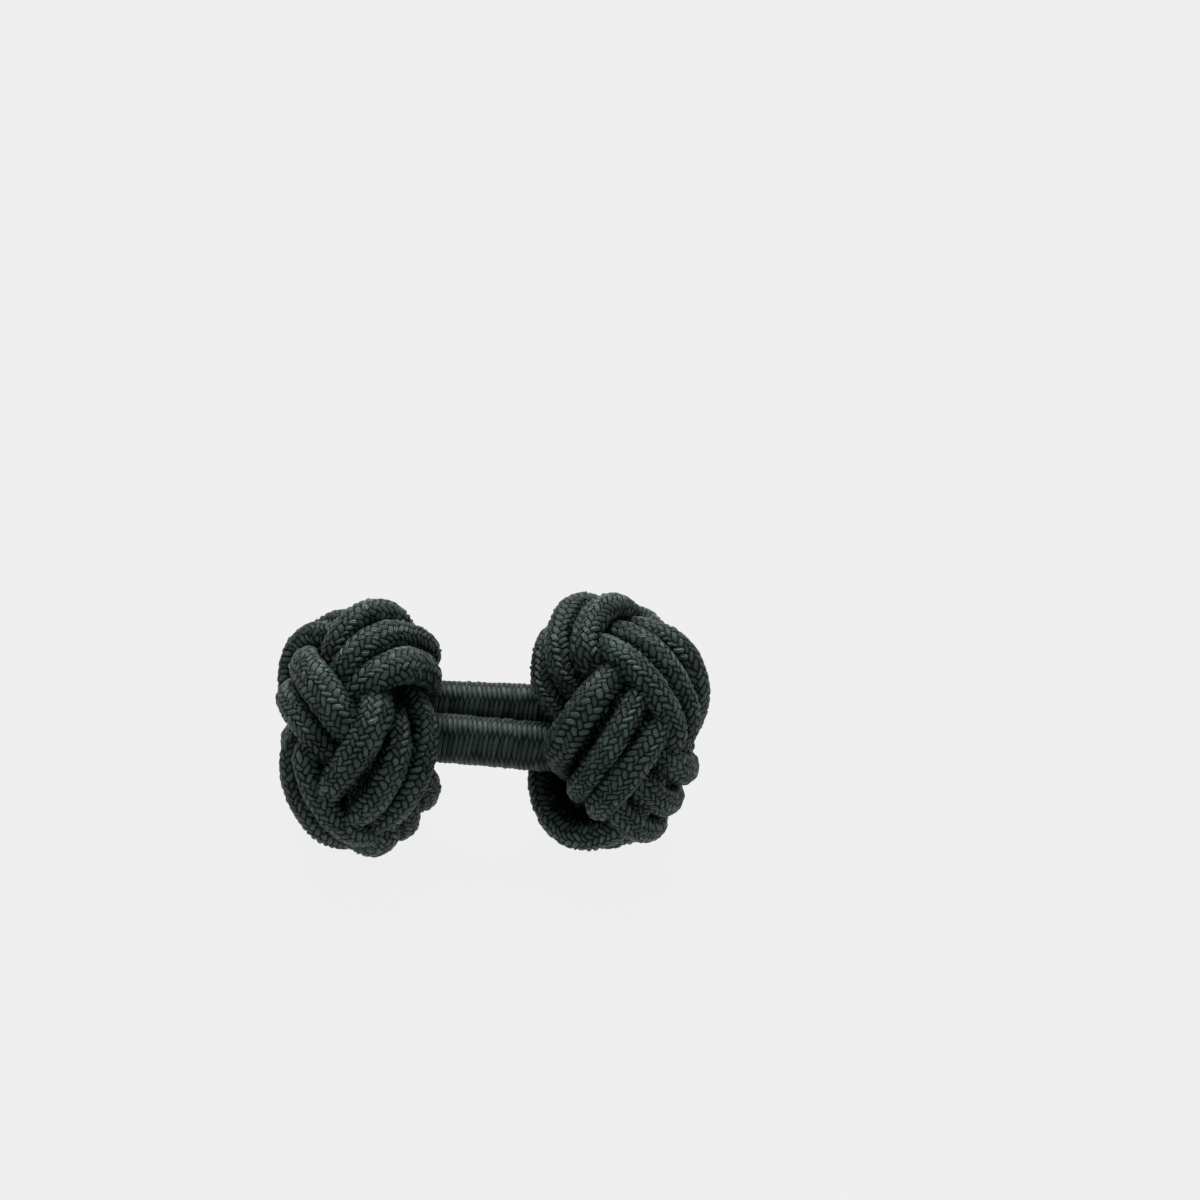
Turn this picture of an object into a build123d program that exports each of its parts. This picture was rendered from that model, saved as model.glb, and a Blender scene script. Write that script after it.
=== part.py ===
from build123d import *

import os

import numpy as np

# Knot cufflink: two balls of plaited cord, each a three-ply Turk's head, on a pair of link cords.
# The link cords run along X, Z is up and the two knots stand on Z = 0.

# Driving sizes in mm
KNOT_DIAMETER = 12.0
KNOT_THICKNESS = 8.1
KNOT_SPACING = 11.45
STRAND_WIDTH = 1.56
STRAND_THICKNESS = 1.2
STRAND_PITCH = 1.5
WEAVE_LIFT = 0.55
LINK_DIAMETER = 2.2
LINK_GAP = 0.1
LINK_END_GAP = 0.2
SOCKET_CLEARANCE = 0.15
CORE_DEPTH = 0.4

# How the pair of link cords lies: the rear one a little higher than the front one,
# and both coming forward on their way to the right knot
LINK_TILT = 12.0
LINK_SKEW = 10.0
LINK_FORWARD = 0.18

# How far both knots are pressed flat where they rest
REST_FLAT = 0.2

# The weave: three leads round four bights, laid with three plies
LEADS = 3
BIGHTS = 4
PLIES = (-1, 0, 1)
INNER_LATITUDE = 44.0
OUTER_LATITUDE = 53.0
LIFT_SHARPNESS = 1.2

# Where each knot is turned to, by what share it flares towards the link cords, and how its bights
# were pulled out of place as it was tightened, in degrees round the knot. Even bights lie at the
# link cords, odd ones at the far end.
LEFT_TURN = 42.0
LEFT_YAW = -2.0
LEFT_FLARE = 0.0
LEFT_BIGHTS = (
    # bight, towards the link, onwards
    (0, 6.0, 8.0),
    (1, -6.0, -9.0),
    (3, 5.0, -4.0),
    (4, -4.0, 0.0),
    (6, -8.0, 0.0),
    (7, 0.0, 8.0),
)
RIGHT_TURN = 66.0
RIGHT_YAW = 10.0
RIGHT_FLARE = 0.09
RIGHT_BIGHTS = (
    # bight, towards the link, onwards
    (0, 5.0, 4.0),
    (2, 5.0, 2.0),
    (4, 5.0, -6.0),
    (5, 3.0, -6.0),
    (6, -9.0, 0.0),
    (7, 8.0, 0.0),
)

# Where single plies lie out of line. The place and the reach to either side of it are in bights,
# the rest in strand widths: across towards the next ply, outward and wider.
LEFT_STRAYS = (
    # ply, place, reach, across, outward, wider
    (0, 0.0, 0.3, 0.0, 0.19, 0.0),
    (-1, 0.1, 0.3, 0.0, -0.2, 0.0),
    (-1, 0.3, 0.3, 0.0, 0.13, 0.0),
    (1, 0.3, 0.4, 0.0, 0.0, 0.22),
    (0, 0.5, 0.22, 0.0, 0.19, 0.0),
    (1, 0.5, 0.22, 0.0, 0.19, 0.0),
    (0, 0.6, 0.3, 0.13, 0.0, 0.0),
    (-1, 0.65, 0.35, 0.35, 0.0, 0.0),
    (-1, 1.0, 0.5, 0.0, -0.19, 0.0),
    (0, 1.4, 0.3, 0.0, 0.1, 0.0),
    (0, 3.35, 0.4, 0.0, 0.0, 0.25),
    (1, 3.3, 0.4, -0.38, -0.45, 0.0),
    (0, 4.0, 0.5, 0.0, -0.26, 0.0),
    (1, 4.0, 0.4, 0.0, -0.1, 0.0),
    (0, 4.25, 0.25, 0.0, 0.1, 0.0),
    (-1, 5.35, 0.35, 0.0, 0.16, 0.0),
    (0, 5.35, 0.3, 0.0, 0.04, 0.0),
    (0, 5.6, 0.3, 0.0, -0.29, 0.0),
    (0, 5.95, 0.35, 0.0, -0.32, -0.3),
    (-1, 6.1, 0.3, 0.06, 0.0, 0.15),
    (-1, 6.4, 0.3, 0.06, 0.0, 0.0),
    (0, 6.4, 0.4, 0.19, 0.0, 0.0),
    (1, 6.4, 0.4, 0.16, 0.0, 0.0),
)
RIGHT_STRAYS = (
    # ply, place, reach, across, outward, wider
    (0, 0.38, 0.35, 0.0, 0.25, 0.0),
    (-1, 0.38, 0.3, 0.0, 0.12, 0.0),
    (0, 1.85, 0.3, 0.0, -0.26, 0.0),
    (1, 1.85, 0.3, 0.0, -0.26, 0.0),
    (-1, 2.2, 0.5, -0.1, 0.0, 0.0),
    (0, 2.2, 0.5, -0.26, 0.0, -0.15),
    (1, 2.2, 0.5, -0.13, 0.0, 0.35),
    (1, 4.3, 0.4, 0.0, 0.3, 0.0),
    (0, 4.5, 0.4, 0.0, -0.08, 0.0),
    (1, 4.6, 0.4, 0.0, 0.26, 0.0),
    (-1, 5.4, 0.4, 0.0, 0.3, 0.0),
    (1, 6.0, 0.5, 0.0, -0.19, 0.0),
    (-1, 7.15, 0.5, 0.0, -0.22, 0.0),
    (0, 7.15, 0.5, 0.0, -0.26, 0.0),
    (1, 7.15, 0.5, 0.0, -0.1, 0.0),
)

# The mesh of a knot: rows from pole to pole and columns round it, laid on points along each ply
# and across its outward half, out to the crown angle on both sides and on to its foot, which
# spreads past its sides into the grooves and is given in half widths
ROWS = 40
COLUMNS = 70
FINE_ROWS = 1200
PLY_POINTS = 1600
CROWN_POINTS = 33
CROWN_ANGLE = 85.0
FOOT = 1.3
FOOT_POINTS = 4
TOUCH_ANGLE = 0.9
SMOOTHING = 0.18

BED_RADIUS = KNOT_DIAMETER / 2 - WEAVE_LIFT - STRAND_THICKNESS / 2
BED_HALF_LENGTH = KNOT_THICKNESS / 2 - WEAVE_LIFT / 2 - STRAND_THICKNESS / 2
BED = np.array([BED_HALF_LENGTH, BED_RADIUS, BED_RADIUS])


def unit(vectors):
    """Each row scaled to length one."""
    return vectors / np.linalg.norm(vectors, axis=-1, keepdims=True)


def around_link(latitude, azimuth):
    """Directions from the middle of a knot, with latitude towards the link and azimuth round it."""
    ring = np.cos(latitude)
    return np.stack([np.sin(latitude), ring * np.cos(azimuth), ring * np.sin(azimuth)], 1)


def share_near(angle, place, reach):
    """A weight along the weave that is one at a place and falls to nought at its reach on both sides."""
    distance = (angle * BIGHTS / np.pi - place + BIGHTS) % (2 * BIGHTS) - BIGHTS
    return np.where(abs(distance) < reach, 0.5 + 0.5 * np.cos(np.pi * distance / reach), 0)


def weave(turn, flare, bights, strays):
    """Centre points, tangents, outward normals and widths along the three plies of a knot."""
    angle = np.linspace(0, 2 * np.pi, PLY_POINTS, endpoint=False)
    swing = np.radians(INNER_LATITUDE + OUTER_LATITUDE) / 2
    latitude = np.radians(INNER_LATITUDE - OUTER_LATITUDE) / 2 + swing * np.cos(BIGHTS * angle)
    azimuth = LEADS * angle + np.radians(turn)
    for bight, towards_link, onwards in bights:
        latitude += np.radians(towards_link) * share_near(angle, bight, 1)
        azimuth += np.radians(onwards) * share_near(angle, bight, 1)
    guide = around_link(latitude, azimuth) * BED
    side = np.cross(unit(guide / BED**2), unit(np.roll(guide, -1, 0) - np.roll(guide, 1, 0)))
    swell = WEAVE_LIFT * np.tanh(LIFT_SHARPNESS * np.sin(2 * BIGHTS * angle)) / np.tanh(LIFT_SHARPNESS)
    plies = []
    for ply in PLIES:
        across = np.full_like(angle, STRAND_PITCH * ply)
        outward = swell.copy()
        width = np.full_like(angle, STRAND_WIDTH)
        for stray, place, reach, *changes in strays:
            if stray == ply:
                share = STRAND_WIDTH * share_near(angle, place, reach)
                for quantity, change in zip((across, outward, width), changes):
                    quantity += change * share
        on_bed = unit((guide + side * across[:, None]) / BED) * BED
        normal = unit(on_bed / BED**2)
        flared = on_bed * (1 + flare * on_bed[:, :1] / BED_HALF_LENGTH * [0, 1, 1])
        centre = flared + normal * outward[:, None]
        tangent = unit(np.roll(centre, -1, 0) - np.roll(centre, 1, 0))
        normal = unit(normal - tangent * (normal * tangent).sum(1)[:, None])
        plies.append((centre, tangent, normal, width[:, None]))
    return [np.concatenate(part) for part in zip(*plies)]


def strand_surface(strands):
    """Points on the outward half and the foot of every strand."""
    centre, tangent, normal, width = (part[:, None] for part in strands)
    across = np.cross(normal, tangent)
    crown = np.radians(np.linspace(-CROWN_ANGLE, CROWN_ANGLE, CROWN_POINTS))
    foot = np.linspace(1, FOOT, FOOT_POINTS)
    sideways = np.concatenate([-foot, np.sin(crown), foot])[None, :, None]
    outward = np.concatenate([0 * foot, np.cos(crown), 0 * foot])[None, :, None]
    surface = centre + across * sideways * width / 2 + normal * outward * STRAND_THICKNESS / 2
    return surface.reshape(-1, 3)


def outer_radius(directions, surface):
    """How far out the strands reach from the middle of the knot along each direction."""
    reach = np.linalg.norm(surface, axis=1)
    surface_directions = surface / reach[:, None]
    core = 1 / np.linalg.norm(directions / (BED - CORE_DEPTH), axis=1)
    radius = core.copy()
    for index, direction in enumerate(directions):
        near = surface_directions @ direction > np.cos(np.radians(TOUCH_ANGLE))
        radius[index] = max(core[index], reach[near].max(initial=0))
    return radius


def row_latitudes():
    """Latitudes of the rows of points, evenly spaced along the bed from pole to pole."""
    fine = np.linspace(np.pi / 2, -np.pi / 2, FINE_ROWS)
    steps = np.hypot(np.diff(np.sin(fine)) * BED_HALF_LENGTH, np.diff(np.cos(fine)) * BED_RADIUS)
    walked = np.concatenate([[0], np.cumsum(steps)])
    return np.interp(np.linspace(0, walked[-1], ROWS + 1), walked, fine)


def knot_points(turn, flare, bights, strays):
    """Rows of surface points from the link side to the far side, with a single point at each pole."""
    surface = strand_surface(weave(turn, flare, bights, strays))
    latitudes = row_latitudes()
    rows = []
    for row, latitude in enumerate(latitudes):
        at_pole = row in (0, len(latitudes) - 1)
        columns = np.arange(1 if at_pole else COLUMNS) + row % 2 / 2
        azimuth = 2 * np.pi * columns / COLUMNS + np.radians(turn)
        directions = unit(around_link(np.full_like(azimuth, latitude), azimuth) * BED)
        rows.append(directions * outer_radius(directions, surface)[:, None])
    return smoothed(rows)


def smoothed(rows):
    """The rows with each point drawn a little towards the mean of its six neighbours."""
    result = [rows[0]]
    for row in range(1, len(rows) - 1):
        shift = row % 2
        above = np.broadcast_to(rows[row - 1], rows[row].shape)
        below = np.broadcast_to(rows[row + 1], rows[row].shape)
        neighbours = [np.roll(rows[row], 1, 0), np.roll(rows[row], -1, 0)]
        for other in (above, below):
            neighbours += [other, np.roll(other, -1 if shift else 1, 0)]
        result.append(rows[row] * (1 - SMOOTHING) + SMOOTHING * sum(neighbours) / len(neighbours))
    return result + [rows[-1]]


def turned(rows, yaw):
    """The rows turned about Z by an angle in degrees."""
    cosine = np.cos(np.radians(yaw))
    sine = np.sin(np.radians(yaw))
    turn = np.array([[cosine, sine, 0], [-sine, cosine, 0], [0, 0, 1]])
    return [row @ turn for row in rows]


def rest_height(rows):
    """How high the middle of a knot is when its underside is pressed flat on Z = 0."""
    return -min(row[:, 2].min() for row in rows) - REST_FLAT


def placed(rows, *offset):
    """The rows moved by an offset along X, Y and Z, with nothing left below Z = 0."""
    return [np.maximum(row + np.array(offset), [-np.inf, -np.inf, 0]) for row in rows]


def faceted_solid(rows):
    """A closed solid of triangles through staggered rows of points."""
    faces = []

    def triangle(*corners):
        points = [Vector(*corner) for corner in corners]
        faces.append(Face(Wire.make_polygon(points, close=True)))

    for row in range(len(rows) - 1):
        near, far = rows[row], rows[row + 1]
        shift = row % 2
        for column in range(COLUMNS):
            following = (column + 1) % COLUMNS
            if row == 0:
                triangle(near[0], far[column], far[following])
            elif row == len(rows) - 2:
                triangle(near[column], far[0], near[following])
            elif shift:
                triangle(near[column], far[following], near[following])
                triangle(near[column], far[column], far[following])
            else:
                triangle(near[column], far[column], near[following])
                triangle(near[following], far[column], far[following])
    return Solid(Shell(faces))


left_rows = turned(knot_points(LEFT_TURN, LEFT_FLARE, LEFT_BIGHTS, LEFT_STRAYS), LEFT_YAW)
right_rows = turned(knot_points(RIGHT_TURN, RIGHT_FLARE, RIGHT_BIGHTS, RIGHT_STRAYS), 180 + RIGHT_YAW)
left_height = rest_height(left_rows)
right_height = rest_height(right_rows)

# Both knots rest on Z = 0, and the origin is below the middle of the box round them
left_rows = placed(left_rows, -KNOT_SPACING / 2, 0, left_height)
right_rows = placed(right_rows, KNOT_SPACING / 2, 0, right_height)
spread = np.concatenate(left_rows + right_rows)
centre_x, centre_y, _ = (spread.min(0) + spread.max(0)) / 2
left_relief = faceted_solid(placed(left_rows, -centre_x, -centre_y, 0))
right_relief = faceted_solid(placed(right_rows, -centre_x, -centre_y, 0))

# The plane square to the link cords halfway between the knots, with its X towards the rear cord
link_heading = Vector(1, 0, 0).rotate(Axis.Z, -LINK_SKEW)
link_axis = Axis((0, 0, 0), link_heading)
link_across = Vector(0, 1, 0).rotate(Axis.Z, -LINK_SKEW).rotate(link_axis, LINK_TILT)
link_middle = (-centre_x, -LINK_FORWARD - centre_y, (left_height + right_height) / 2)
link_plane = Plane(origin=link_middle, x_dir=link_across, z_dir=link_heading)

# The link cords lie side by side and end just short of the middle of each knot
LINK_OFFSET = (LINK_DIAMETER + LINK_GAP) / 2
LINK_REACH = KNOT_SPACING / 2 - LINK_END_GAP

# The slot in each knot that takes both link cords
with BuildSketch(link_plane) as socket:
    SlotCenterToCenter(2 * LINK_OFFSET, LINK_DIAMETER + 2 * SOCKET_CLEARANCE)

with BuildPart() as left_knot:
    add(left_relief)
    extrude(socket.sketch, amount=LINK_REACH + SOCKET_CLEARANCE, dir=-link_heading, mode=Mode.SUBTRACT)

with BuildPart() as right_knot:
    add(right_relief)
    extrude(socket.sketch, amount=LINK_REACH + SOCKET_CLEARANCE, dir=link_heading, mode=Mode.SUBTRACT)

with BuildPart() as front_link_cord:
    with BuildSketch(link_plane):
        with Locations((-LINK_OFFSET, 0)):
            Circle(LINK_DIAMETER / 2)
    extrude(amount=LINK_REACH, both=True)

with BuildPart() as rear_link_cord:
    with BuildSketch(link_plane):
        with Locations((LINK_OFFSET, 0)):
            Circle(LINK_DIAMETER / 2)
    extrude(amount=LINK_REACH, both=True)

PIECES = {
    "left_knot": left_knot,
    "right_knot": right_knot,
    "front_link_cord": front_link_cord,
    "rear_link_cord": rear_link_cord,
}

os.makedirs("parts", exist_ok=True)
for name, piece in PIECES.items():
    piece.part.label = name
    export_step(piece.part, f"parts/{name}.step")
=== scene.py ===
"""Knot cufflink: two knots of braided silk cord on a pair of link cords, round its fixed frame."""

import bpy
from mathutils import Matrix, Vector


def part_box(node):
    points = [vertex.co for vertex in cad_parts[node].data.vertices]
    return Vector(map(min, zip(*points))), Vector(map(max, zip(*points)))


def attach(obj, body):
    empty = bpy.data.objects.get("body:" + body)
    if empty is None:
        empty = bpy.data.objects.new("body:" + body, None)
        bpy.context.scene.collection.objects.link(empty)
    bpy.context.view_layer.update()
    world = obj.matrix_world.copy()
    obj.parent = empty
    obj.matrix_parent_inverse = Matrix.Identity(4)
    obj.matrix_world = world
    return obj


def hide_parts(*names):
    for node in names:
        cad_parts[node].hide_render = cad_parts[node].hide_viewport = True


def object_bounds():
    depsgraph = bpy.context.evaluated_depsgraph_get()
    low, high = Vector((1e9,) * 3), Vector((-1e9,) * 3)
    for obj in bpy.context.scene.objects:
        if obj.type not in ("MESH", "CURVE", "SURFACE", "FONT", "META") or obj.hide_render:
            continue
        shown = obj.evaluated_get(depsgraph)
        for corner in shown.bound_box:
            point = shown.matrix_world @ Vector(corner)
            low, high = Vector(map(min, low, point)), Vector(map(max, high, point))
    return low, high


bl_info = {
    "name": "Knot cufflink",
    "version": (1, 0, 0),
    "blender": (4, 5, 0),
    "location": "3D View > Sidebar > Cufflink",
    "description": "Plaits a silk-knot cufflink of braided cord and sets its stage",
    "category": "Add Mesh",
}

import math

import bpy
import numpy as np
from mathutils import Vector

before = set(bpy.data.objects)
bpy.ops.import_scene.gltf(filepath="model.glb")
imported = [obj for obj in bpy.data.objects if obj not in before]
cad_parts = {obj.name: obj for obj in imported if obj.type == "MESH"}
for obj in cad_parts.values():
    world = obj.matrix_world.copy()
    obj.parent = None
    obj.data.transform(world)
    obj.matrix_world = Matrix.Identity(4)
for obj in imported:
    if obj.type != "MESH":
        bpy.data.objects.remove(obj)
CAD_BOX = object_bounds()

MM = 0.001
BODY = "root"

# The weave: a Turk's head of three leads round four bights, laid with three plies
LEADS = 3
BIGHTS = 4
PLIES = (-1, 0, 1)
INNER_LATITUDE = 44.0
OUTER_LATITUDE = 53.0
LIFT_SHARPNESS = 1.2
GUIDE_POINTS = 4800

# Where each knot is turned to, by what share it flares towards the link cords, and how its bights
# were pulled out of place as it was tightened, in degrees round the knot. Even bights lie at the
# link cords, odd ones at the far end.
LEFT_TURN = 42.0
LEFT_YAW = -2.0
LEFT_FLARE = 0.0
LEFT_BIGHTS = (
    # bight, towards the link, onwards
    (0, 6.0, 8.0),
    (1, -6.0, -9.0),
    (3, 5.0, -4.0),
    (4, -4.0, 0.0),
    (6, -8.0, 0.0),
    (7, 0.0, 8.0),
)
RIGHT_TURN = 66.0
RIGHT_YAW = 10.0
RIGHT_FLARE = 0.09
RIGHT_BIGHTS = (
    # bight, towards the link, onwards
    (0, 5.0, 4.0),
    (2, 5.0, 2.0),
    (4, 5.0, -6.0),
    (5, 3.0, -6.0),
    (6, -9.0, 0.0),
    (7, 8.0, 0.0),
)

# Where single plies lie out of line. The place and the reach to either side of it are in bights,
# the rest in strand widths: across towards the next ply, outward and wider.
LEFT_STRAYS = (
    # ply, place, reach, across, outward, wider
    (0, 0.0, 0.3, 0.0, 0.19, 0.0),
    (-1, 0.1, 0.3, 0.0, -0.2, 0.0),
    (-1, 0.3, 0.3, 0.0, 0.13, 0.0),
    (1, 0.02, 0.25, 0.0, -0.3, 0.0),
    (1, 0.3, 0.4, 0.0, 0.0, 0.22),
    (0, 0.5, 0.22, 0.0, 0.19, 0.0),
    (1, 0.5, 0.22, 0.0, 0.19, 0.0),
    (0, 0.6, 0.3, 0.13, 0.0, 0.0),
    (-1, 0.65, 0.35, 0.35, 0.0, 0.0),
    (0, 0.75, 0.22, 0.0, -0.2, 0.0),
    (1, 0.75, 0.22, 0.0, -0.2, 0.0),
    (-1, 1.0, 0.5, 0.0, -0.19, 0.0),
    (0, 1.4, 0.3, 0.0, 0.1, 0.0),
    (0, 3.35, 0.4, 0.0, 0.0, 0.25),
    (1, 3.3, 0.45, -0.38, -0.9, -0.3),
    (0, 4.0, 0.5, 0.0, -0.26, 0.0),
    (1, 4.0, 0.4, 0.0, -0.1, 0.0),
    (0, 4.25, 0.25, 0.0, 0.1, 0.0),
    (-1, 5.35, 0.35, 0.0, 0.16, 0.0),
    (0, 5.35, 0.3, 0.0, 0.04, 0.0),
    (0, 5.6, 0.3, 0.0, -0.29, 0.0),
    (0, 5.95, 0.35, 0.0, -0.6, -0.4),
    (-1, 5.92, 0.25, 0.0, -0.3, 0.0),
    (-1, 6.1, 0.3, 0.06, 0.0, 0.15),
    (-1, 6.4, 0.3, 0.06, 0.0, 0.0),
    (0, 6.4, 0.4, 0.19, 0.0, 0.0),
    (1, 6.4, 0.4, 0.16, 0.0, 0.0),
)
RIGHT_STRAYS = (
    # ply, place, reach, across, outward, wider
    (0, 0.38, 0.35, 0.0, 0.25, 0.0),
    (-1, 0.38, 0.3, 0.0, 0.12, 0.0),
    (0, 1.85, 0.3, 0.0, -0.26, 0.0),
    (1, 1.85, 0.3, 0.0, -0.26, 0.0),
    (-1, 2.2, 0.5, -0.1, 0.0, 0.0),
    (0, 2.2, 0.5, -0.26, 0.0, -0.15),
    (1, 2.2, 0.5, -0.13, 0.0, 0.35),
    (1, 4.3, 0.4, 0.0, 0.3, 0.0),
    (0, 4.5, 0.4, 0.0, -0.08, 0.0),
    (1, 4.6, 0.4, 0.0, 0.26, 0.0),
    (-1, 5.4, 0.4, 0.0, 0.3, 0.0),
    (1, 6.0, 0.5, 0.0, -0.19, 0.0),
    (-1, 7.15, 0.5, 0.0, -0.22, 0.0),
    (0, 7.15, 0.5, 0.0, -0.26, 0.0),
    (1, 7.15, 0.5, 0.0, -0.1, 0.0),
)

# How the pair of link cords lies: the rear one a little higher than the front one, and both coming
# forward on their way to the right knot, the front one more than the rear one
LINK_TILT = 12.0
LINK_LAYS = {
    # cord: forward in degrees, backward and upward of its place in millimetres
    "front_link_cord": (10.0, 0.0, 0.12),
    "rear_link_cord": (5.0, 0.09, 0.12),
}

# A braid: points across each stitch, how many threads each thread crosses before it dives, how much
# finer the columns are where they face outward, and how uneven a link cord is beside a knot's cord
KNOT_STITCH_POINTS = 3
LINK_STITCH_POINTS = 8
KNOT_FLOATS = 2
LINK_FLOATS = 2
OUTWARD_FINENESS = 0.3
LINK_UNEVENNESS = 0.5

# The map for baked textures lays a cord out in strips, with room for this many steps more in each
BAKE_STRIPS = 5
BAKE_MARGIN = 2

# A stitch's section across and along is a sine raised to these powers, so nearly square, and the
# lowest one stands this share as high as the highest
ACROSS_POWER = 0.4
ALONG_POWER = 0.35
LOWEST_STITCH = 0.5

# Each stitch takes its tone from a list, at a place worked out from the numbers of its two threads
TONES = 4099
FIRST_SPREAD = (613, 3571)
SECOND_SPREAD = (887, 2741)
FAMILY_SHIFT = 1999

# How deep a place lies in a knot is measured against the outermost cord near it: cells over half
# the way round, the reach in cells, and the depths between which painted shade darkens the cord and
# lowers its gleam
DEPTH_CELLS = 72
DEPTH_REACH = 4
SHALLOW = 0.25 * MM
DEEP = 1.15 * MM

# The grain of the fibres on the cord's surface with its layers and their weight, and how far apart
# tight and loose places lie
FIBRE_GRAIN = 0.1 * MM
FIBRE_DETAIL = 3.0
FIBRE_HARSHNESS = 0.7
TENSION_GRAIN = 0.8 * MM
TENSION_DETAIL = 2.0

# The look of the thread: ranges of its own tone, of its wear, of how wide the painted shade at the
# edge of a stitch is and of how bright the cord is from tight to loose places, and the tone that
# painted shade leaves deep down
NOISE_RANGE = (0.35, 0.65)
TONE_RANGE = (0.4, 1.6)
FIBRE_RANGE = (0.3, 0.7)
WEAR_RANGE = (0.45, 1.55)
SHADE_EDGE_RANGE = (0.2, 0.7)
PRESSED_RANGE = (1.2, 0.85)
DEEP_SHADE_TONE = 0.35
CROWN_POWER = 0.6
# The gleam rises from its least between stitches to the full gloss on a stitch's top: painted shade
# on the reflection
GLEAM_HEIGHT = (0.05, 0.6)
LEAST_GLEAM = 0.1
THREAD_ROUGHNESS = 0.42
THREAD_IOR = 1.45
GLEAM_TINT = (0.76, 1.0, 0.86, 1)
SEED = 7

# The numbers of the colour inputs and of the colour output of a Mix node
MIX_FIRST = 6
MIX_SECOND = 7
MIX_RESULT = 2

# The photograph: its frame in pixels, the middle of the cufflink in it, and its scale. The camera:
# its elevation, its lens and sensor, and how near, of its distance, and how far it sees
PHOTO_SIDE = 1200
PHOTO_MIDDLE = (492.5, 721.5)
PHOTO_SCALE = 22.1
CAMERA_ELEVATION = 30.0
CAMERA_LENS = 135.0
SENSOR = 36.0
NEAREST_SHARE = 0.05
FARTHEST = 20.0

# The soft light stands above and behind, and is as wide as a light tent's top
KEY_FROM = (0.0, 0.6, 1.0)
KEY_SPREAD = 35.0

# The floor: metres along a side, and a sheet that shines but hardly reflects
FLOOR_SIDE = 4.0
FLOOR_SURFACE = (0.01, 0.01, 0.01, 1)
FLOOR_ROUGHNESS = 0.9


def linear(hex_colour):
    """A linear colour from an sRGB hex value."""
    parts = [int(hex_colour[i:i + 2], 16) / 255 for i in (1, 3, 5)]
    return [p / 12.92 if p <= 0.04045 else ((p + 0.055) / 1.055) ** 2.4 for p in parts]


def unit(vectors):
    """Each row scaled to length one."""
    return vectors / np.linalg.norm(vectors, axis=-1, keepdims=True)


class KnotSettings(bpy.types.PropertyGroup):
    """Sizes of the two knots"""
    diameter: bpy.props.FloatProperty(
        name="Knot diameter", description="Across a knot, square to the link cords",
        default=12.0 * MM, unit="LENGTH")
    thickness: bpy.props.FloatProperty(
        name="Knot thickness", description="Through a knot, along the link cords",
        default=8.1 * MM, unit="LENGTH")
    strand_width: bpy.props.FloatProperty(
        name="Strand width", description="Across one ply of cord",
        default=1.56 * MM, unit="LENGTH")
    strand_thickness: bpy.props.FloatProperty(
        name="Strand thickness", description="Through one ply of cord",
        default=1.5 * MM, unit="LENGTH")
    strand_pitch: bpy.props.FloatProperty(
        name="Strand pitch", description="From one ply to the next",
        default=1.5 * MM, unit="LENGTH")
    weave_lift: bpy.props.FloatProperty(
        name="Weave lift", description="How far a strand rises and dives at a crossing",
        default=0.55 * MM, unit="LENGTH")
    rest_flat: bpy.props.FloatProperty(
        name="Rest flat", description="How far a knot is pressed flat where it rests",
        default=0.2 * MM, unit="LENGTH")


class BraidSettings(bpy.types.PropertyGroup):
    """How the cords are braided"""
    knot_columns: bpy.props.IntProperty(
        name="Columns", description="Columns of stitches round a knot's cord",
        default=10, min=4, step=2)
    knot_stitch: bpy.props.FloatProperty(
        name="Stitch pitch", description="From one stitch to the next along a knot's cord",
        default=0.31 * MM, unit="LENGTH")
    knot_relief: bpy.props.FloatProperty(
        name="Stitch height", description="How far a stitch stands up on a knot's cord",
        default=0.12 * MM, unit="LENGTH")
    link_columns: bpy.props.IntProperty(
        name="Link columns", description="Columns of stitches round a link cord",
        default=6, min=4, step=2)
    link_stitch: bpy.props.FloatProperty(
        name="Link stitch pitch", description="From one rib to the next along a link cord",
        default=0.226 * MM, unit="LENGTH")
    link_relief: bpy.props.FloatProperty(
        name="Rib height", description="How far a rib stands up on a link cord",
        default=0.09 * MM, unit="LENGTH")
    unevenness: bpy.props.FloatProperty(
        name="Unevenness", description="How far stitches stray from their places, in stitches",
        default=0.27, min=0, max=0.3)


class LinkSettings(bpy.types.PropertyGroup):
    """Sizes of the link cords"""
    diameter: bpy.props.FloatProperty(
        name="Link diameter", description="Across one link cord",
        default=2.3 * MM, unit="LENGTH")
    reach: bpy.props.FloatProperty(
        name="Link reach", description="From the middle of a link cord to its end inside a knot",
        default=4.2 * MM, unit="LENGTH")


class SilkSettings(bpy.types.PropertyGroup):
    """Colours of the cords and of the painted shade between their stitches"""
    thread: bpy.props.FloatVectorProperty(
        name="Thread", description="Dyed silk where the light falls on it", subtype="COLOR",
        default=linear("#27332E"))
    link_thread: bpy.props.FloatVectorProperty(
        name="Link thread", description="Dyed silk of the link cords where the light falls on it",
        subtype="COLOR", default=linear("#202925"))
    # Painted shade: the near-black colour that the silk is mixed towards between stitches, where
    # shade falls
    depth: bpy.props.FloatVectorProperty(
        name="Between stitches", description="Silk between the stitches", subtype="COLOR",
        default=linear("#030604"))


class StageSettings(bpy.types.PropertyGroup):
    """The floor and the light"""
    floor: bpy.props.FloatVectorProperty(
        name="Floor", description="Colour of the floor", subtype="COLOR",
        default=linear("#EEEEEE"))
    key: bpy.props.FloatProperty(
        name="Key light", description="Strength of the soft light from above and behind",
        default=3.6)
    room: bpy.props.FloatProperty(
        name="Room light", description="Strength of the light from all round", default=0.8)
    glow: bpy.props.FloatProperty(
        name="Floor glow", description="How bright the lit floor is, of its colour", default=0.985)


def share_near(angle, place, reach):
    """A weight along the weave: one at a place, falling to nought at its reach on both sides."""
    distance = (angle * BIGHTS / np.pi - place + BIGHTS) % (2 * BIGHTS) - BIGHTS
    return np.where(abs(distance) < reach, 0.5 + 0.5 * np.cos(np.pi * distance / reach), 0)


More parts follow.
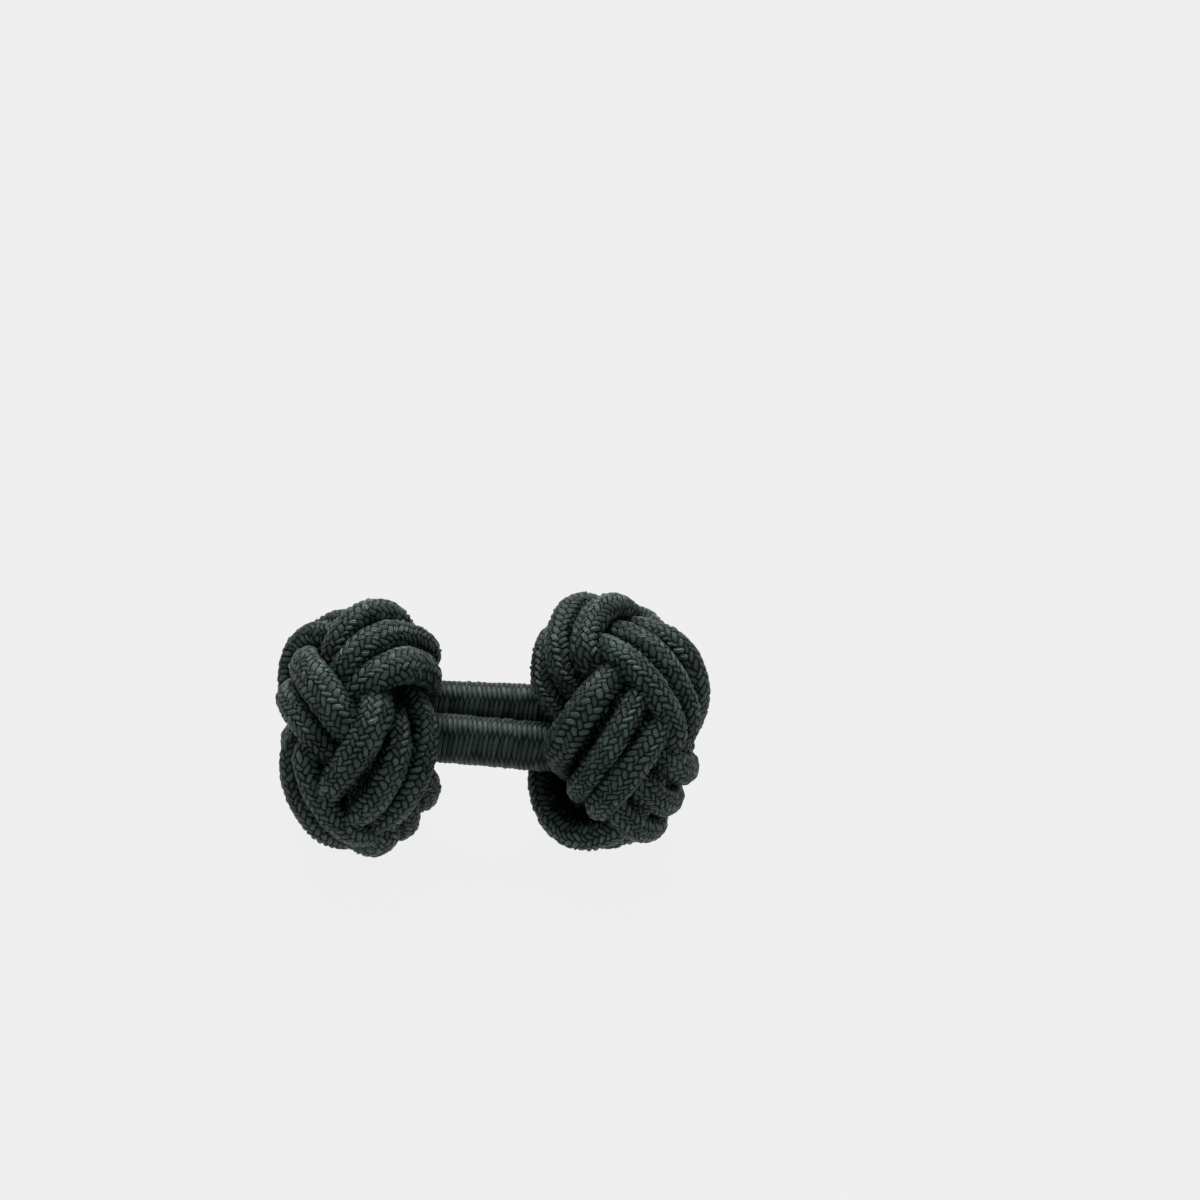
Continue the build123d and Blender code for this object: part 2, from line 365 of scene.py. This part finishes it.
def weave(sizes, turn, flare, bights, strays):
    """Centre points, outward normals and widths along a knot's three plies, its axis along X."""
    bed_radius = sizes.diameter / 2 - sizes.weave_lift - sizes.strand_thickness / 2
    bed_half_length = sizes.thickness / 2 - sizes.weave_lift / 2 - sizes.strand_thickness / 2
    bed = np.array([bed_half_length, bed_radius, bed_radius])
    angle = np.linspace(0, 2 * np.pi, GUIDE_POINTS, endpoint=False)
    swing = np.radians(INNER_LATITUDE + OUTER_LATITUDE) / 2
    latitude = np.radians(INNER_LATITUDE - OUTER_LATITUDE) / 2 + swing * np.cos(BIGHTS * angle)
    azimuth = LEADS * angle + np.radians(turn)
    for bight, towards_link, onwards in bights:
        latitude += np.radians(towards_link) * share_near(angle, bight, 1)
        azimuth += np.radians(onwards) * share_near(angle, bight, 1)
    ring = np.cos(latitude)
    guide = np.stack([np.sin(latitude), ring * np.cos(azimuth), ring * np.sin(azimuth)], 1) * bed
    side = np.cross(unit(guide / bed**2), unit(np.roll(guide, -1, 0) - np.roll(guide, 1, 0)))
    swell = np.tanh(LIFT_SHARPNESS * np.sin(2 * BIGHTS * angle)) / np.tanh(LIFT_SHARPNESS)
    plies = []
    for ply in PLIES:
        across = np.full_like(angle, sizes.strand_pitch * ply)
        outward = sizes.weave_lift * swell
        width = np.full_like(angle, sizes.strand_width)
        for stray, place, reach, *changes in strays:
            if stray == ply:
                share = sizes.strand_width * share_near(angle, place, reach)
                for quantity, change in zip((across, outward, width), changes):
                    quantity += change * share
        on_bed = unit((guide + side * across[:, None]) / bed) * bed
        normal = unit(on_bed / bed**2)
        flared = on_bed * (1 + flare * on_bed[:, :1] / bed_half_length * [0, 1, 1])
        plies.append((flared + normal * outward[:, None], normal, width[:, None]))
    return plies


def turned(vectors, yaw):
    """The vectors turned about Z by an angle in degrees."""
    cosine = np.cos(np.radians(yaw))
    sine = np.sin(np.radians(yaw))
    return vectors @ np.array([[cosine, sine, 0], [-sine, cosine, 0], [0, 0, 1]])


def along_loop(points, places):
    """A function that gives values along a closed line at the given shares of its length."""
    closed = np.concatenate([points, points[:1]])
    walked = np.concatenate([[0], np.cumsum(np.linalg.norm(np.diff(closed, axis=0), axis=1))])

    def at(values):
        looped = np.concatenate([values, values[:1]])
        return np.stack([np.interp(places % 1 * walked[-1], walked, part) for part in looped.T], 1)

    return at


def length_of(points):
    """Length of a closed line."""
    return np.linalg.norm(np.roll(points, -1, 0) - points, axis=1).sum()


class Braid:
    """A lattice of points round a cord, whose diagonals follow the two families of threads.

    Row by row along the cord, every second row is half a step on. Each thread crosses over a number
    of threads of the other family, its floats, and then dives under as many.
    """

    def __init__(self, columns, points, floats, stitches, seed):
        self.points = points
        self.floats = floats
        self.around = points * columns
        self.rows = 2 * points * stitches
        random = np.random.default_rng(seed)
        self.tones = random.random(TONES)
        self.strays = random.uniform(-1, 1, (2, stitches, columns))

    def nodes(self, rows):
        """Share of the way round the cord and numbers of both threads for each row's points."""
        row = np.arange(rows)[:, None]
        step = np.arange(self.around)[None, :]
        share = (step + row % 2 / 2) / self.around
        first = step + (row + row % 2) // 2
        second = step + (row % 2 - row) // 2
        return share, first, second

    def wander(self, rows):
        """How far each point strays round the cord and along it, smooth from stitch to stitch."""
        _, stitches, columns = self.strays.shape
        along = np.arange(rows)[:, None] / (2 * self.points)
        around = np.arange(self.around)[None, :] / self.points
        row, column = along.astype(int), around.astype(int)
        past_row, past_column = smoothstep(along - row), smoothstep(around - column)

        def corner(down, on):
            return self.strays[:, (row + down) % stitches, (column + on) % columns]

        near = corner(0, 0) * (1 - past_column) + corner(0, 1) * past_column
        far = corner(1, 0) * (1 - past_column) + corner(1, 1) * past_column
        return near * (1 - past_row) + far * past_row

    def stitch(self, first, second):
        """Which family lies on top, where in its stitch a place is, and the stitch's tone."""
        cell_first, across_first = first // self.points, first % self.points / self.points
        cell_second, across_second = second // self.points, second % self.points / self.points
        turn = (cell_first + cell_second) % (2 * self.floats)
        on_top = turn < self.floats
        across = np.where(on_top, across_first, across_second)
        along = np.where(on_top, turn + across_second, turn - self.floats + across_first)
        along = along / self.floats
        own_first = cell_first * FIRST_SPREAD[0] + (cell_second - turn) * FIRST_SPREAD[1]
        own_second = cell_second * SECOND_SPREAD[0] + (cell_first - turn) * SECOND_SPREAD[1]
        own = np.where(on_top, own_first + FAMILY_SHIFT, own_second)
        return on_top, across, along, self.tones[own % TONES]

    def relief(self, rows):
        """How high each point stands, from 0 between stitches to about 1 on top of one."""
        _, first, second = self.nodes(rows)
        _, across, along, tone = self.stitch(first, second)
        arch = np.sin(np.pi * across) ** ACROSS_POWER * np.sin(np.pi * along) ** ALONG_POWER
        return arch * (LOWEST_STITCH + (1 - LOWEST_STITCH) * tone)

    def faces(self, rows, closed):
        """Corner numbers of the faces, both maps of the corners, and a tone for each face."""
        row = np.arange(rows if closed else rows - 2)[:, None] + (0 if closed else 1)
        step = np.arange(self.around)[None, :]
        odd = row % 2
        left = row % rows * self.around + step + 0 * row
        right = row % rows * self.around + (step + 1) % self.around
        above = (row + 1) % rows * self.around + (step + odd) % self.around
        below = (row - 1) % rows * self.around + (step + odd) % self.around
        corners = np.stack([left, below, right, above], -1).reshape(-1, 4)
        first = step + (row + odd) // 2
        second = step + (odd - row) // 2
        on_top, across, along, tone = self.stitch(first, second)
        one = 1 / self.points
        across_step = np.where(on_top[..., None], [0, 0, one, one], [0, one, one, 0])
        along_step = np.where(on_top[..., None], [0, one, one, 0], [0, 0, one, one]) / self.floats
        stitch_map = np.stack([across[..., None] + across_step, along[..., None] + along_step], -1)
        strip_rows = math.ceil(rows / BAKE_STRIPS)
        strip = row // strip_rows + 0 * step
        round_place = step[..., None] + odd[..., None] / 2 + np.array([0, 0.5, 1, 0.5])
        round_share = round_place / (self.around + BAKE_MARGIN)
        strip_row = row[..., None] % strip_rows + np.array([0, -1, 0, 1]) + 1 + 0 * step[..., None]
        along_share = strip_row / (strip_rows + BAKE_MARGIN)
        bake_map = np.stack([(strip[..., None] + round_share) / BAKE_STRIPS, along_share], -1)
        return corners, stitch_map.reshape(-1, 2), bake_map.reshape(-1, 2), tone.ravel()


def smoothstep(share):
    """A share from 0 to 1, eased at both ends."""
    return share * share * (3 - 2 * share)


def section(sizes, share):
    """Across and outward places on a cord's oval section, and the directions square to it."""
    angle = 2 * np.pi * share - OUTWARD_FINENESS * np.sin(2 * np.pi * share)
    width, thickness = sizes
    across, outward = width / 2 * np.sin(angle), thickness / 2 * np.cos(angle)
    direction_across, direction_outward = np.sin(angle) / width, np.cos(angle) / thickness
    size = np.hypot(direction_across, direction_outward)
    return across, outward, direction_across / size, direction_outward / size


def neighbourhood(grid, reach, combine):
    """Each cell combined with those near it. Rows have two ends, and columns go all round."""
    padded = np.pad(grid, ((reach, reach), (0, 0)), mode="edge")
    rows = combine([padded[shift:shift + len(grid)] for shift in range(2 * reach + 1)], axis=0)
    return combine([np.roll(rows, shift, 1) for shift in range(-reach, reach + 1)], axis=0)


def depths(plies):
    """How deep each point of a knot's plies lies below the outermost ones near it, which sets the
    painted shade.
    """
    everything = np.concatenate([points.reshape(-1, 3) for _, points, _ in plies])
    middle = (everything.min(0) + everything.max(0)) / 2
    found = []
    for _, points, _ in plies:
        out = points - middle
        radius = np.linalg.norm(out, axis=-1)
        latitude = np.arcsin(out[..., 0] / radius) / np.pi + 0.5
        azimuth = np.arctan2(out[..., 2], out[..., 1]) / (2 * np.pi) + 0.5
        down = (latitude * DEPTH_CELLS).astype(int).clip(0, DEPTH_CELLS - 1)
        on = (azimuth * 2 * DEPTH_CELLS).astype(int) % (2 * DEPTH_CELLS)
        found.append((radius, down, on))
    outermost = np.zeros((DEPTH_CELLS, 2 * DEPTH_CELLS))
    for radius, down, on in found:
        np.maximum.at(outermost, (down, on), radius)
    outermost = neighbourhood(neighbourhood(outermost, DEPTH_REACH, np.max), DEPTH_REACH, np.mean)
    return [outermost[down, on] - radius for radius, down, on in found]


def mesh_object(name, points, braid, material, closed, depth=0):
    """A mesh object from rows of points, with its two maps, its stitches' tones and its depths for
    the painted shade.
    """
    rows = len(points)
    corners, stitch_map, bake_map, tone = braid.faces(rows, closed)
    mesh = bpy.data.meshes.new(name)
    flat = points.reshape(-1, 3)
    fill_mesh(mesh, flat, corners)
    for map_name, places in (("stitch", stitch_map), ("OFBake", bake_map)):
        layer = mesh.uv_layers.new(name=map_name, do_init=False)
        layer.uv.foreach_set("vector", places.astype(np.float32).ravel())
    tones = mesh.attributes.new("tone", "FLOAT", "FACE")
    tones.data.foreach_set("value", tone.astype(np.float32))
    deep = mesh.attributes.new("depth", "FLOAT", "POINT")
    everywhere = np.broadcast_to(depth, points.shape[:2])
    deep.data.foreach_set("value", everywhere.astype(np.float32).ravel())
    mesh.materials.append(material)
    made = bpy.data.objects.new(name, mesh)
    bpy.context.scene.collection.objects.link(made)
    return made


def fill_mesh(mesh, points, corners):
    """Gives a new mesh its points and four-cornered faces, smooth all over."""
    mesh.vertices.add(len(points))
    mesh.vertices.foreach_set("co", points.astype(np.float32).ravel())
    mesh.loops.add(corners.size)
    mesh.loops.foreach_set("vertex_index", corners.astype(np.int32).ravel())
    mesh.polygons.add(len(corners))
    mesh.polygons.foreach_set("loop_start", np.arange(0, corners.size, 4, dtype=np.int32))
    mesh.update(calc_edges=True)
    mesh.validate()
    mesh.shade_smooth()


def cord_points(centre, normal, braid, width, thickness, relief_height, stray, closed):
    """Rows of points of a braided cord along a centre line."""
    rows = len(centre)
    if closed:
        tangent = unit(np.roll(centre, -1, 0) - np.roll(centre, 1, 0))
    else:
        tangent = unit(np.gradient(centre, axis=0))
    normal = unit(normal - tangent * (normal * tangent).sum(1)[:, None])
    side = np.cross(normal, tangent)
    share, _, _ = braid.nodes(rows)
    around, along = braid.wander(rows)
    body = (width - 2 * relief_height, thickness - 2 * relief_height)
    # The half turn puts the first column on the inner side
    share = share + 0.5 + around * stray * braid.points / braid.around
    across, outward, direction_across, direction_outward = section(body, share)
    height = relief_height * braid.relief(rows)
    across = across + direction_across * height
    outward = outward + direction_outward * height
    pitch = np.linalg.norm(np.diff(centre[:2], axis=0)) * 2 * braid.points
    points = centre[:, None] + side[:, None] * across[..., None]
    points = points + normal[:, None] * outward[..., None]
    return points + tangent[:, None] * (along * stray * pitch)[..., None]


def knot_plies(sizes, braids, side_name, turn, yaw, flare, bights, strays, seed):
    """Rows of points of the three plies of a knot, each with its braid."""
    plies = []
    for number, (centre, normal, width) in enumerate(weave(sizes, turn, flare, bights, strays)):
        stitches = round(length_of(centre) / braids.knot_stitch)
        braid = Braid(braids.knot_columns, KNOT_STITCH_POINTS, KNOT_FLOATS, stitches, seed + number)
        at = along_loop(centre, np.arange(braid.rows) / braid.rows)
        points = cord_points(turned(at(centre), yaw), turned(at(normal), yaw), braid, at(width),
                             sizes.strand_thickness, braids.knot_relief, braids.unevenness, True)
        plies.append((f"{side_name}_ply_{number + 1}", points, braid))
    return plies


def seated(plies, node, rest_flat):
    """The plies in the middle of their node's box, pressed flat where they rest on the floor."""
    lowest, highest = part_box(node)
    points = np.concatenate([points.reshape(-1, 3) for _, points, _ in plies])
    low, high = points.min(0), points.max(0)
    middle = (np.array(lowest) + np.array(highest)) / 2 - (low + high) / 2
    offset = np.array([middle[0], middle[1], -low[2] - rest_flat])
    floor = [-np.inf, -np.inf, 0]
    return [(name, np.maximum(points + offset, floor), braid) for name, points, braid in plies]


class CUFFLINK_OT_knots(bpy.types.Operator):
    """Lay the three plies of braided cord of both knots"""
    bl_idname = "cufflink.knots"
    bl_label = "Lay the knots"

    def execute(self, context):
        sizes = context.scene.cufflink_knot
        braids = context.scene.cufflink_braid
        silk = braided_silk(context.scene.cufflink_silk)
        knots = {
            "left_knot": (LEFT_TURN, LEFT_YAW, LEFT_FLARE, LEFT_BIGHTS, LEFT_STRAYS, SEED),
            "right_knot": (RIGHT_TURN, 180 + RIGHT_YAW, RIGHT_FLARE, RIGHT_BIGHTS, RIGHT_STRAYS,
                           SEED + len(PLIES)),
        }
        for node, lay in knots.items():
            plies = seated(knot_plies(sizes, braids, node, *lay), node, sizes.rest_flat)
            for (name, points, braid), depth in zip(plies, depths(plies)):
                piece = mesh_object(name, points, braid, silk, True, depth)
                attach(piece, BODY)
                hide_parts(node)
        return {"FINISHED"}


class CUFFLINK_OT_links(bpy.types.Operator):
    """Run the two link cords from knot to knot"""
    bl_idname = "cufflink.links"
    bl_label = "Run the link cords"

    def execute(self, context):
        sizes = context.scene.cufflink_link
        braids = context.scene.cufflink_braid
        elastic = ribbed_elastic(context.scene.cufflink_silk)
        tilt = math.radians(LINK_TILT)
        for number, (node, (forward, backward, upward)) in enumerate(LINK_LAYS.items()):
            heading = turned(np.array([1.0, 0, 0]), -forward)
            level = turned(np.array([0, 1.0, 0]), -forward)
            across = level * math.cos(tilt) + np.cross(heading, level) * math.sin(tilt)
            lowest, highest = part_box(node)
            middle = (np.array(lowest) + np.array(highest)) / 2
            middle = middle + np.array([0, backward, upward]) * MM
            stitches = round(2 * sizes.reach / braids.link_stitch)
            seed = SEED + 2 * len(PLIES) + number
            braid = Braid(braids.link_columns, LINK_STITCH_POINTS, LINK_FLOATS, stitches, seed)
            along = np.linspace(-sizes.reach, sizes.reach, braid.rows + 1)
            centre = middle + along[:, None] * heading
            normal = np.broadcast_to(np.cross(heading, across), centre.shape)
            points = cord_points(centre, normal, braid, sizes.diameter, sizes.diameter,
                                 braids.link_relief, braids.unevenness * LINK_UNEVENNESS, False)
            piece = mesh_object(node + "_braid", points, braid, elastic, False)
            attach(piece, BODY)
            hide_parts(node)
        return {"FINISHED"}


class CUFFLINK_OT_stage(bpy.types.Operator):
    """Set the pale floor, the soft light and the camera"""
    bl_idname = "cufflink.stage"
    bl_label = "Set the stage"

    def execute(self, context):
        look = context.scene.cufflink_stage
        bpy.ops.mesh.primitive_plane_add(size=FLOOR_SIDE)
        floor = context.object
        floor.name = "floor"
        floor.data.materials.append(pale_floor(look))
        world = bpy.data.worlds.new("room")
        context.scene.world = world
        world.use_nodes = True
        background = world.node_tree.nodes["Background"]
        background.inputs["Color"].default_value = (1, 1, 1, 1)
        background.inputs["Strength"].default_value = look.room
        lamp = bpy.data.lights.new("key", "SUN")
        lamp.energy = look.key
        lamp.angle = math.radians(KEY_SPREAD)
        key = bpy.data.objects.new("key", lamp)
        key.rotation_euler = Vector(KEY_FROM).to_track_quat("Z", "Y").to_euler()
        context.scene.collection.objects.link(key)
        place_camera(context.scene)
        context.scene.view_settings.view_transform = "Standard"
        return {"FINISHED"}


def place_camera(scene):
    """The camera at the photograph's angle, framed as the photograph is."""
    lens = bpy.data.cameras.new("camera")
    lens.sensor_width = SENSOR
    lens.lens = CAMERA_LENS
    lens.shift_x = (PHOTO_SIDE / 2 - PHOTO_MIDDLE[0]) / PHOTO_SIDE
    lens.shift_y = (PHOTO_MIDDLE[1] - PHOTO_SIDE / 2) / PHOTO_SIDE
    camera = bpy.data.objects.new("camera", lens)
    lowest, highest = CAD_BOX
    distance = PHOTO_SIDE / PHOTO_SCALE * MM * CAMERA_LENS / SENSOR
    tilt = math.radians(CAMERA_ELEVATION)
    back = Vector((0, -math.cos(tilt), math.sin(tilt)))
    camera.location = (lowest + highest) / 2 + back * distance
    camera.rotation_euler = back.to_track_quat("Z", "Y").to_euler()
    lens.clip_start = distance * NEAREST_SHARE
    lens.clip_end = FARTHEST
    scene.collection.objects.link(camera)
    scene.camera = camera


def add_node(tree, kind, inputs=(), **settings):
    """Adds a node. Each of its inputs, by name or number, gets a value or a socket's link."""
    made = tree.nodes.new(kind)
    for name, value in settings.items():
        setattr(made, name, value)
    for name, value in dict(inputs).items():
        if isinstance(value, bpy.types.NodeSocket):
            tree.links.new(value, made.inputs[name])
        else:
            made.inputs[name].default_value = value
    return made


def new_material(name):
    """An empty node material with its output."""
    material = bpy.data.materials.new(name)
    material.use_nodes = True
    tree = material.node_tree
    tree.nodes.clear()
    return material, tree, add_node(tree, "ShaderNodeOutputMaterial")


def ranged(value, source, target):
    """Inputs of a Map Range node that takes one range of a value to another."""
    return {"Value": value, "From Min": source[0], "From Max": source[1],
            "To Min": target[0], "To Max": target[1]}


def times(tree, first, second):
    """The product of two sockets, or of a socket and a number."""
    return add_node(tree, "ShaderNodeMath", {0: first, 1: second}, operation="MULTIPLY").outputs[0]


def stitched_thread(name, thread, depth, threads, thread_depth, stitch_depth, gloss):
    """Silk thread laid in stitches: each is a rounded bundle of threads, with painted shade in its
    colour and gleam where it dives and where the cord lies deep.
    """
    material, tree, output = new_material(name)
    place = add_node(tree, "ShaderNodeUVMap", uv_map="stitch")
    parts = add_node(tree, "ShaderNodeSeparateXYZ", {0: place.outputs["UV"]})
    spot = add_node(tree, "ShaderNodeTexCoord").outputs["Object"]
    across = add_node(tree, "ShaderNodeMath", {0: times(tree, parts.outputs["X"], math.pi)},
                      operation="SINE")
    along = add_node(tree, "ShaderNodeMath", {0: times(tree, parts.outputs["Y"], math.pi)},
                     operation="SINE")
    height = times(tree, across.outputs[0], along.outputs[0])
    crown = add_node(tree, "ShaderNodeMath", {0: height, 1: CROWN_POWER}, operation="POWER",
                     use_clamp=True)
    phase = times(tree, parts.outputs["X"], 2 * math.pi * threads)
    ridge = add_node(tree, "ShaderNodeMath", {0: phase}, operation="SINE")
    fibre = add_node(tree, "ShaderNodeTexNoise", {
        "Vector": spot, "Scale": 1 / FIBRE_GRAIN, "Detail": FIBRE_DETAIL,
        "Roughness": FIBRE_HARSHNESS}).outputs["Fac"]
    tension = add_node(tree, "ShaderNodeTexNoise", {
        "Vector": spot, "Scale": 1 / TENSION_GRAIN, "Detail": TENSION_DETAIL}).outputs["Fac"]
    own_tone = add_node(tree, "ShaderNodeAttribute", attribute_name="tone").outputs["Fac"]
    sunk = add_node(tree, "ShaderNodeAttribute", attribute_name="depth").outputs["Fac"]

    # Painted shade at the edge of each stitch: the thread is mixed towards the near-black colour
    # where the stitch falls away from its top, in a band whose width wanders with the tension noise
    edge = add_node(tree, "ShaderNodeMapRange", ranged(tension, NOISE_RANGE, SHADE_EDGE_RANGE))
    light = add_node(tree, "ShaderNodeMapRange", {"Value": height, "From Min": 0.0,
                                                  "From Max": edge.outputs[0]},
                     interpolation_type="SMOOTHSTEP")
    dyed_and_shaded = add_node(tree, "ShaderNodeMix", {"Factor": light.outputs[0], MIX_FIRST: (*depth, 1),
                                            MIX_SECOND: (*thread, 1)}, data_type="RGBA")
    stitch_tone = add_node(tree, "ShaderNodeMapRange", ranged(own_tone, (0, 1), TONE_RANGE))
    worn = add_node(tree, "ShaderNodeMapRange", ranged(fibre, FIBRE_RANGE, WEAR_RANGE))
    pressed = add_node(tree, "ShaderNodeMapRange", ranged(tension, NOISE_RANGE, PRESSED_RANGE))
    # Painted shade: the cord is darkened, and its gleam lowered, where it lies deep below the
    # outermost cords near it
    painted_depth_shade = add_node(tree, "ShaderNodeMapRange",
                          ranged(sunk, (SHALLOW, DEEP), (1, DEEP_SHADE_TONE)))
    tone = times(tree, stitch_tone.outputs[0], worn.outputs[0])
    tone = times(tree, tone, pressed.outputs[0])
    tone = times(tree, tone, painted_depth_shade.outputs[0])
    colour = add_node(tree, "ShaderNodeVectorMath", {0: dyed_and_shaded.outputs[MIX_RESULT], "Scale": tone},
                      operation="SCALE")
    # Painted shade on the reflection: the gleam is lowest between stitches and, with the painted
    # depth shade, deep in the knot
    gleam = add_node(tree, "ShaderNodeMapRange",
                     ranged(height, GLEAM_HEIGHT, (LEAST_GLEAM, gloss)))

    rounding = add_node(tree, "ShaderNodeBump", {"Strength": 1.0, "Distance": stitch_depth,
                                                 "Height": crown.outputs[0]})
    bump = add_node(tree, "ShaderNodeBump", {"Strength": 1.0, "Distance": thread_depth,
                                             "Height": ridge.outputs[0],
                                             "Normal": rounding.outputs[0]})
    fuzz = add_node(tree, "ShaderNodeBump", {"Strength": 1.0, "Distance": thread_depth,
                                             "Height": fibre, "Normal": bump.outputs[0]})
    shader = add_node(tree, "ShaderNodeBsdfPrincipled", {
        "Base Color": colour.outputs[0],
        "Roughness": THREAD_ROUGHNESS,
        "IOR": THREAD_IOR,
        "Specular IOR Level": times(tree, gleam.outputs[0], painted_depth_shade.outputs[0]),
        "Specular Tint": GLEAM_TINT,
        "Normal": fuzz.outputs[0],
    })
    tree.links.new(shader.outputs[0], output.inputs[0])
    return material


def braided_silk(look):
    """Dyed silk braid, bottle green: near black, with a soft gleam along the top of each stitch."""
    return stitched_thread("braided_silk", look.thread, look.depth, threads=4,
                           thread_depth=0.01 * MM, stitch_depth=0.07 * MM, gloss=0.5)


def ribbed_elastic(look):
    """Silk-covered elastic cord: the thread laid tight and nearly crosswise, so it looks ribbed."""
    return stitched_thread("ribbed_elastic", look.link_thread, look.depth, threads=2,
                           thread_depth=0.006 * MM, stitch_depth=0.06 * MM, gloss=0.27)


def pale_floor(look):
    """Matt white acrylic sheet lit from below: even and nearly free of shadows."""
    material, tree, output = new_material("white_acrylic_sheet")
    shader = add_node(tree, "ShaderNodeBsdfPrincipled", {
        "Base Color": FLOOR_SURFACE,
        "Roughness": FLOOR_ROUGHNESS,
        "Specular IOR Level": 0.0,
        "Emission Color": (*look.floor, 1),
        "Emission Strength": look.glow,
    })
    tree.links.new(shader.outputs[0], output.inputs[0])
    return material


class VIEW3D_PT_cufflink(bpy.types.Panel):
    """The cufflink's operators and sizes"""
    bl_label = "Knot cufflink"
    bl_space_type = "VIEW_3D"
    bl_region_type = "UI"
    bl_category = "Cufflink"

    def draw(self, context):
        for operator in OPERATORS:
            self.layout.operator(operator.bl_idname)
        for name, group in GROUPS.items():
            settings = getattr(context.scene, name)
            for prop in group.__annotations__:
                self.layout.prop(settings, prop)


GROUPS = {
    "cufflink_knot": KnotSettings,
    "cufflink_braid": BraidSettings,
    "cufflink_link": LinkSettings,
    "cufflink_silk": SilkSettings,
    "cufflink_stage": StageSettings,
}
OPERATORS = (CUFFLINK_OT_knots, CUFFLINK_OT_links, CUFFLINK_OT_stage)


def register():
    for kind in (*GROUPS.values(), *OPERATORS, VIEW3D_PT_cufflink):
        bpy.utils.register_class(kind)
    for name, group in GROUPS.items():
        setattr(bpy.types.Scene, name, bpy.props.PointerProperty(type=group))


def unregister():
    for name in GROUPS:
        delattr(bpy.types.Scene, name)
    for kind in (VIEW3D_PT_cufflink, *reversed(OPERATORS), *reversed(GROUPS.values())):
        bpy.utils.unregister_class(kind)


def main():
    register()
    bpy.ops.cufflink.knots()
    bpy.ops.cufflink.links()
    bpy.ops.cufflink.stage()


if __name__ == "__main__":
    main()
